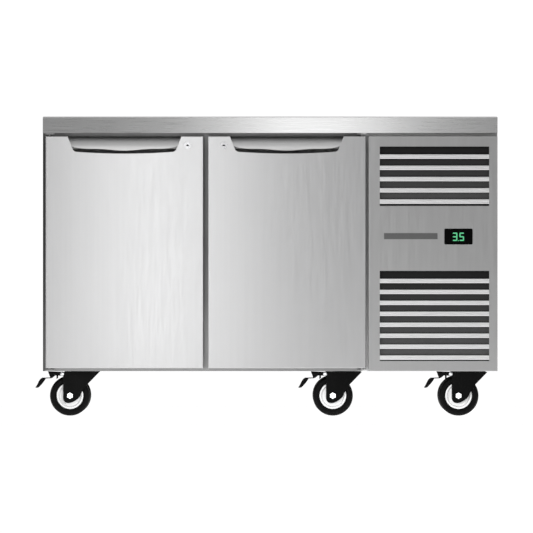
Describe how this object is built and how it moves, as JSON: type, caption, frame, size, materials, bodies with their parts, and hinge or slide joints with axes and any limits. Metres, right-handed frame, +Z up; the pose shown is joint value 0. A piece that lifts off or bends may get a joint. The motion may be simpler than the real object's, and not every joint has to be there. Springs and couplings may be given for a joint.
{
  "type": "undercounter refrigerator",
  "caption": "Undercounter refrigerator on castors with solid hinged doors, recessed pull handles and a louvred machine compartment on the right.",
  "frame": {"origin": "on the floor, in the middle of the whole footprint, brake pedals included", "axes": "+Z up, -Y out of the doors, +X to the right when facing the doors"},
  "size_m": [1.3832, 0.7, 0.895],
  "materials": {
    "worktop_steel": "satin",
    "casing_steel": "satin",
    "frame_steel": "satin",
    "door_steel": "satin",
    "panel_steel": "satin",
    "grille_steel": "satin",
    "handle_steel": "satin",
    "liner_steel": "satin",
    "foam": "matte",
    "shelf_wire": "satin",
    "gasket": "matte",
    "lock_chrome": "polished",
    "filter_mesh": "matte",
    "controller_plastic": "gloss",
    "compressor_paint": "satin",
    "coil_fins": "satin",
    "pipe_copper": "satin",
    "fan_plastic": "matte",
    "motor_paint": "satin",
    "box_plastic": "matte",
    "tray_plastic": "matte",
    "zinc": "satin",
    "castor_paint": "satin",
    "hub_plastic": "satin",
    "tyre_rubber": "matte"
  },
  "bodies": {
    "cabinet": {"worktop": "worktop_steel", "outer_casing": "casing_steel", "cabinet_insulation": "foam", "inner_liner": "liner_steel", "front_frame": "frame_steel", "hinge_brackets": "frame_steel", "shelf_supports": "liner_steel", "shelf_left": "shelf_wire", "shelf_right": "shelf_wire", "machine_front_panel": "panel_steel", "louvre_bars": "grille_steel", "air_filters": "filter_mesh", "temperature_controller": "controller_plastic", "compressor": "compressor_paint", "condenser": "coil_fins", "fan_motors": "motor_paint", "refrigerant_pipes": "pipe_copper", "evaporator_coil": "coil_fins", "evaporator_cover": "liner_steel", "control_box": "box_plastic", "drip_tray": "tray_plastic", "castor_mounts": "zinc", "castor_bolts": "zinc"},
    "door_left": {"door_skin_left": "door_steel", "door_foam_left": "foam", "door_inner_panel_left": "liner_steel", "door_gasket_left": "gasket", "door_handle_left": "handle_steel", "lock_barrel_left": "lock_chrome"},
    "lock_left": {"lock_cam_left": "lock_chrome"},
    "door_right": {"door_skin_right": "door_steel", "door_foam_right": "foam", "door_inner_panel_right": "liner_steel", "door_gasket_right": "gasket", "door_handle_right": "handle_steel", "lock_barrel_right": "lock_chrome"},
    "lock_right": {"lock_cam_right": "lock_chrome"},
    "condenser_fan": {"condenser_fan": "fan_plastic"},
    "evaporator_fan": {"evaporator_fan": "fan_plastic"},
    "castor_1": {"castor_fork_1": "castor_paint"},
    "wheel_1": {"castor_hub_1": "hub_plastic", "castor_tyre_1": "tyre_rubber"},
    "brake_1": {"brake_pedal_1": "castor_paint"},
    "castor_2": {"castor_fork_2": "castor_paint"},
    "wheel_2": {"castor_hub_2": "hub_plastic", "castor_tyre_2": "tyre_rubber"},
    "brake_2": {"brake_pedal_2": "castor_paint"},
    "castor_3": {"castor_fork_3": "castor_paint"},
    "wheel_3": {"castor_hub_3": "hub_plastic", "castor_tyre_3": "tyre_rubber"},
    "brake_3": {"brake_pedal_3": "castor_paint"},
    "castor_4": {"castor_fork_4": "castor_paint"},
    "wheel_4": {"castor_hub_4": "hub_plastic", "castor_tyre_4": "tyre_rubber"},
    "castor_5": {"castor_fork_5": "castor_paint"},
    "wheel_5": {"castor_hub_5": "hub_plastic", "castor_tyre_5": "tyre_rubber"},
    "castor_6": {"castor_fork_6": "castor_paint"},
    "wheel_6": {"castor_hub_6": "hub_plastic", "castor_tyre_6": "tyre_rubber"}
  },
  "joints": [
    {"name": "door_left_hinge", "type": "hinge", "parent": "cabinet", "child": "door_left", "pos_m": [-0.64765, -0.337, 0.489], "axis": [0, 0, -1], "range_deg": [0, 110]},
    {"name": "door_left_lock", "type": "hinge", "parent": "door_left", "child": "lock_left", "pos_m": [-0.23545, -0.337, 0.8088], "axis": [0, -1, 0], "range_deg": [0, 90]},
    {"name": "door_right_hinge", "type": "hinge", "parent": "cabinet", "child": "door_right", "pos_m": [0.28545, -0.337, 0.489], "axis": [0, 0, 1], "range_deg": [0, 110]},
    {"name": "door_right_lock", "type": "hinge", "parent": "door_right", "child": "lock_right", "pos_m": [-0.12675, -0.337, 0.8088], "axis": [0, 1, 0], "range_deg": [0, 90]},
    {"name": "condenser_fan_spin", "type": "hinge", "parent": "cabinet", "child": "condenser_fan", "pos_m": [0.54665, -0.202, 0.296], "axis": [0, 1, 0], "continuous": true},
    {"name": "evaporator_fan_spin", "type": "hinge", "parent": "cabinet", "child": "evaporator_fan", "pos_m": [0.27765, -0.06, 0.65], "axis": [1, 0, 0], "continuous": true},
    {"name": "castor_1_swivel", "type": "hinge", "parent": "cabinet", "child": "castor_1", "pos_m": [-0.55165, -0.235, 0.129], "axis": [0, 0, 1], "continuous": true},
    {"name": "wheel_1_roll", "type": "hinge", "parent": "castor_1", "child": "wheel_1", "pos_m": [-0.58765, -0.235, 0.06], "axis": [0, 1, 0], "continuous": true},
    {"name": "brake_1_press", "type": "hinge", "parent": "castor_1", "child": "brake_1", "pos_m": [-0.61105, -0.235, 0.1255], "axis": [0, -1, 0], "range_deg": [0, 9]},
    {"name": "castor_2_swivel", "type": "hinge", "parent": "cabinet", "child": "castor_2", "pos_m": [0.23535, -0.235, 0.129], "axis": [0, 0, 1], "continuous": true},
    {"name": "wheel_2_roll", "type": "hinge", "parent": "castor_2", "child": "wheel_2", "pos_m": [0.19935, -0.235, 0.06], "axis": [0, 1, 0], "continuous": true},
    {"name": "brake_2_press", "type": "hinge", "parent": "castor_2", "child": "brake_2", "pos_m": [0.17595, -0.235, 0.1255], "axis": [0, -1, 0], "range_deg": [0, 9]},
    {"name": "castor_3_swivel", "type": "hinge", "parent": "cabinet", "child": "castor_3", "pos_m": [0.61165, -0.235, 0.129], "axis": [0, 0, 1], "continuous": true},
    {"name": "wheel_3_roll", "type": "hinge", "parent": "castor_3", "child": "wheel_3", "pos_m": [0.57565, -0.235, 0.06], "axis": [0, 1, 0], "continuous": true},
    {"name": "brake_3_press", "type": "hinge", "parent": "castor_3", "child": "brake_3", "pos_m": [0.55225, -0.235, 0.1255], "axis": [0, -1, 0], "range_deg": [0, 9]},
    {"name": "castor_4_swivel", "type": "hinge", "parent": "cabinet", "child": "castor_4", "pos_m": [-0.55165, 0.29, 0.129], "axis": [0, 0, 1], "continuous": true},
    {"name": "wheel_4_roll", "type": "hinge", "parent": "castor_4", "child": "wheel_4", "pos_m": [-0.58765, 0.29, 0.06], "axis": [0, 1, 0], "continuous": true},
    {"name": "castor_5_swivel", "type": "hinge", "parent": "cabinet", "child": "castor_5", "pos_m": [0.23535, 0.29, 0.129], "axis": [0, 0, 1], "continuous": true},
    {"name": "wheel_5_roll", "type": "hinge", "parent": "castor_5", "child": "wheel_5", "pos_m": [0.19935, 0.29, 0.06], "axis": [0, 1, 0], "continuous": true},
    {"name": "castor_6_swivel", "type": "hinge", "parent": "cabinet", "child": "castor_6", "pos_m": [0.61165, 0.29, 0.129], "axis": [0, 0, 1], "continuous": true},
    {"name": "wheel_6_roll", "type": "hinge", "parent": "castor_6", "child": "wheel_6", "pos_m": [0.57565, 0.29, 0.06], "axis": [0, 1, 0], "continuous": true}
  ]
}
